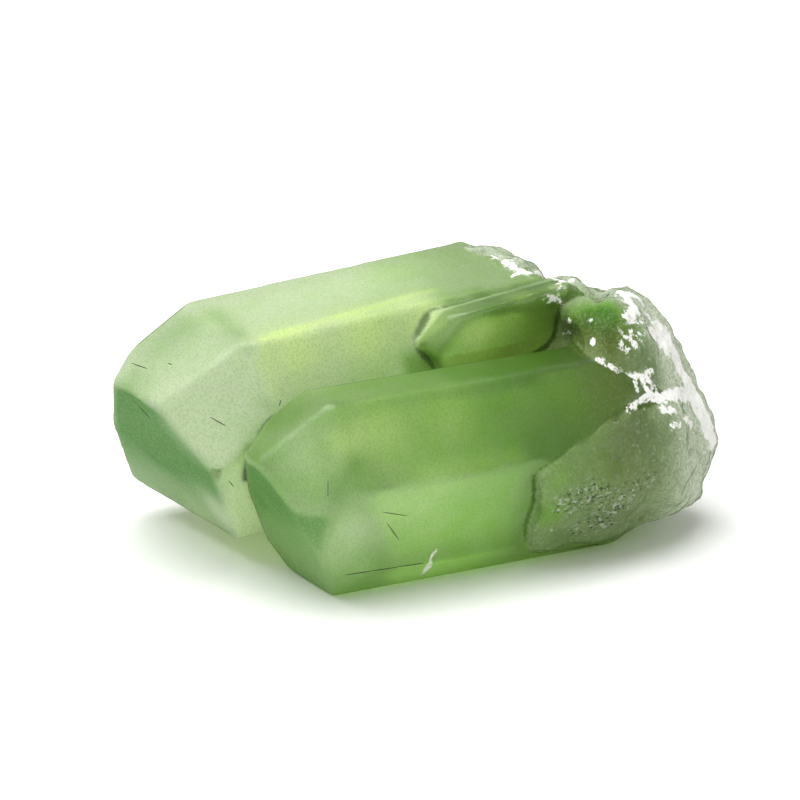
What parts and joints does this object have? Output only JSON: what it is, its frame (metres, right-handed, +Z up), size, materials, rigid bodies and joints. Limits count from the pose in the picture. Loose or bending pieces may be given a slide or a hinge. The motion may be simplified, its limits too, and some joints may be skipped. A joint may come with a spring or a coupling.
{
  "type": "peridot crystal",
  "caption": "Group of green peridot crystals grown side by side, with flat frosted faces and wedge-shaped tips, joined at a rough broken end that has white crust in its cracks.",
  "frame": {"origin": "middle of the bounding box, on the plane the group rests on", "axes": "+Z up; the crystals' tips point to -X and the rough broken end is at +X; the large crystal is on the +Y side and the front one on the -Y side"},
  "size_m": [0.0302, 0.0212, 0.0134],
  "materials": {
    "peridot": "satin"
  },
  "bodies": {
    "root": {"crystal_cluster": "peridot"}
  },
  "joints": []
}
